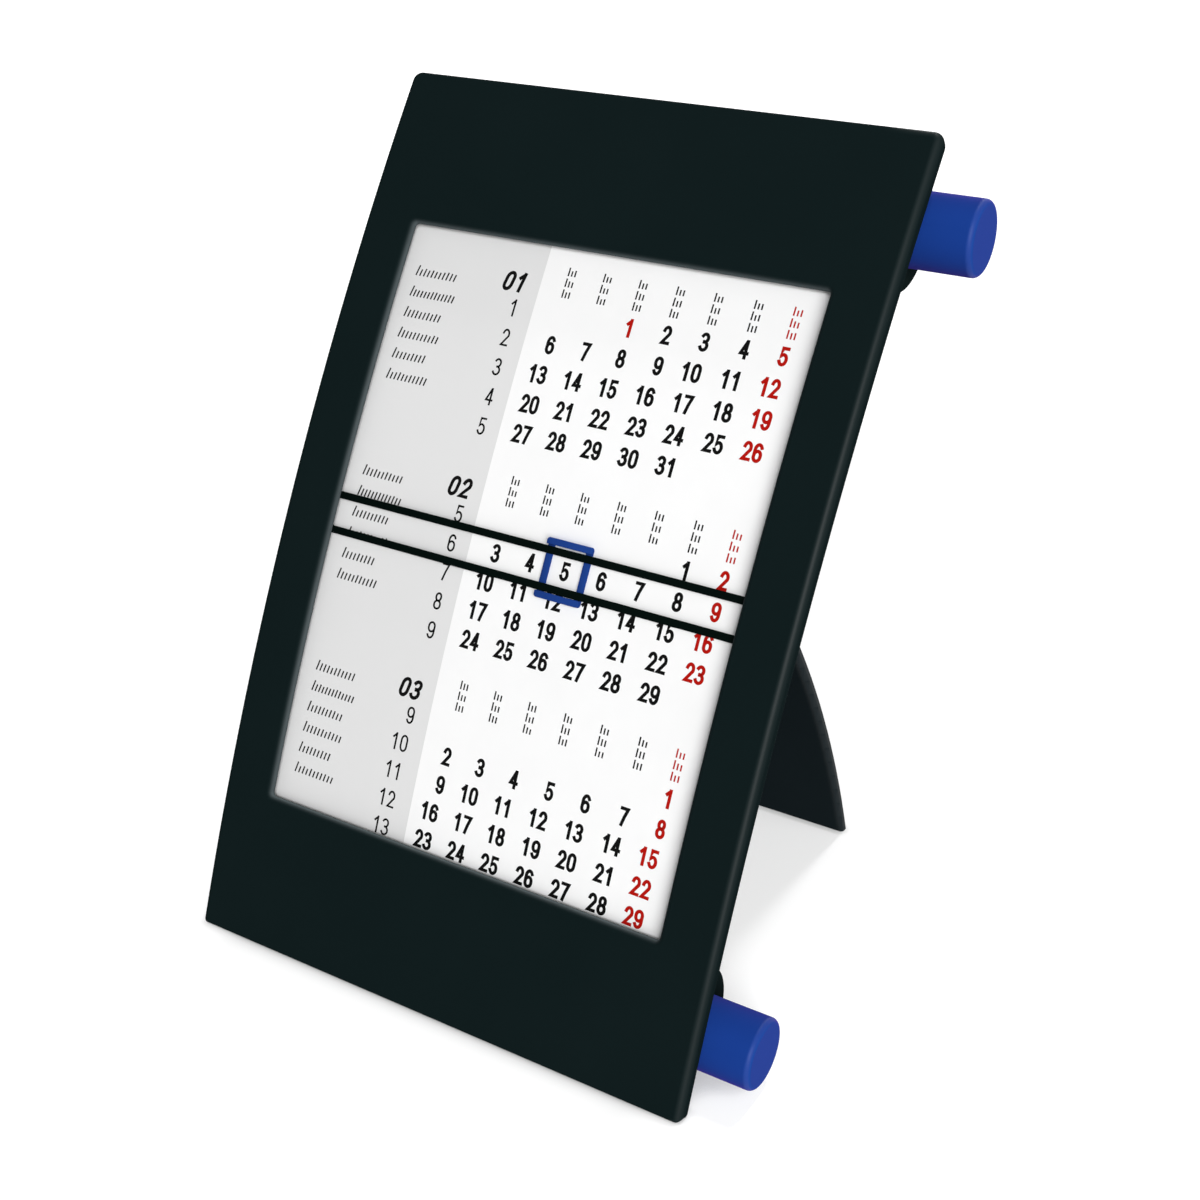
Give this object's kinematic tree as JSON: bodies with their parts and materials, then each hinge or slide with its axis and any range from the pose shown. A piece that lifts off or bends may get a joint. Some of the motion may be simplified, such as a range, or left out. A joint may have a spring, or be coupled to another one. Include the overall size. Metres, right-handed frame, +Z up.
{
  "type": "desk calendar",
  "caption": "Leaning desk calendar: bowed framed window over a paper strip wound between knob-turned spools, a sliding date marker, and a folding rear leg.",
  "frame": {"origin": "middle of the panel's bottom edge, on the table", "axes": "+X to the right seen from the front, +Y to the back, +Z up"},
  "size_m": [0.124, 0.1037, 0.1602],
  "materials": {
    "frame_plastic": "satin greenish black, fine moulded grain",
    "housing_plastic": "satin black",
    "leg_plastic": "satin blue-black",
    "inner_plastic": "dark grey",
    "bar_plastic": "satin black",
    "knob_plastic": "satin blue",
    "marker_plastic": "satin blue",
    "paper": "white uncoated",
    "brake_rubber": "matt black",
    "steel": "plain"
  },
  "bodies": {
    "frame": {"front_frame": "frame_plastic", "rear_housing": "housing_plastic", "housing_screws": "steel", "paper_platen": "inner_plastic", "calendar_strip": "paper"},
    "upper_winder": {"upper_spool": "inner_plastic", "upper_knob": "knob_plastic", "upper_paper_roll": "paper", "upper_brake_washer": "brake_rubber"},
    "lower_winder": {"lower_spool": "inner_plastic", "lower_knob": "knob_plastic", "lower_paper_roll": "paper", "lower_brake_washer": "brake_rubber"},
    "date_marker": {"upper_date_bar": "bar_plastic", "lower_date_bar": "bar_plastic", "left_slide_shoe": "bar_plastic", "right_slide_shoe": "bar_plastic"},
    "day_marker": {"day_frame": "marker_plastic"},
    "leg": {"stand_leg": "leg_plastic", "leg_hinge_pin": "steel"}
  },
  "joints": [
    {"name": "upper_knob_turn", "type": "hinge", "parent": "frame", "child": "upper_winder", "pos_m": [0, 0.08701, 0.14256], "axis": [1, 0, 0], "continuous": true},
    {"name": "lower_knob_turn", "type": "hinge", "parent": "frame", "child": "lower_winder", "pos_m": [0, 0.01374, 0.00901], "axis": [1, 0, 0], "continuous": true},
    {"name": "date_marker_slide", "type": "hinge", "parent": "frame", "child": "date_marker", "pos_m": [0, 0.61402, -0.23344], "axis": [-1, 0, 0], "range_deg": [-4.66, 4.7]},
    {"name": "day_frame_slide", "type": "slide", "parent": "date_marker", "child": "day_marker", "axis": [1, 0, 0], "range_m": [-0.0489, 0.0325]},
    {"name": "leg_fold", "type": "hinge", "parent": "frame", "child": "leg", "pos_m": [0, 0.05278, 0.08115], "axis": [-1, 0, 0], "range_deg": [0, 52]}
  ],
  "couplings": [
    {"joint": "lower_knob_turn", "follows": "upper_knob_turn", "ratio": 1}
  ]
}
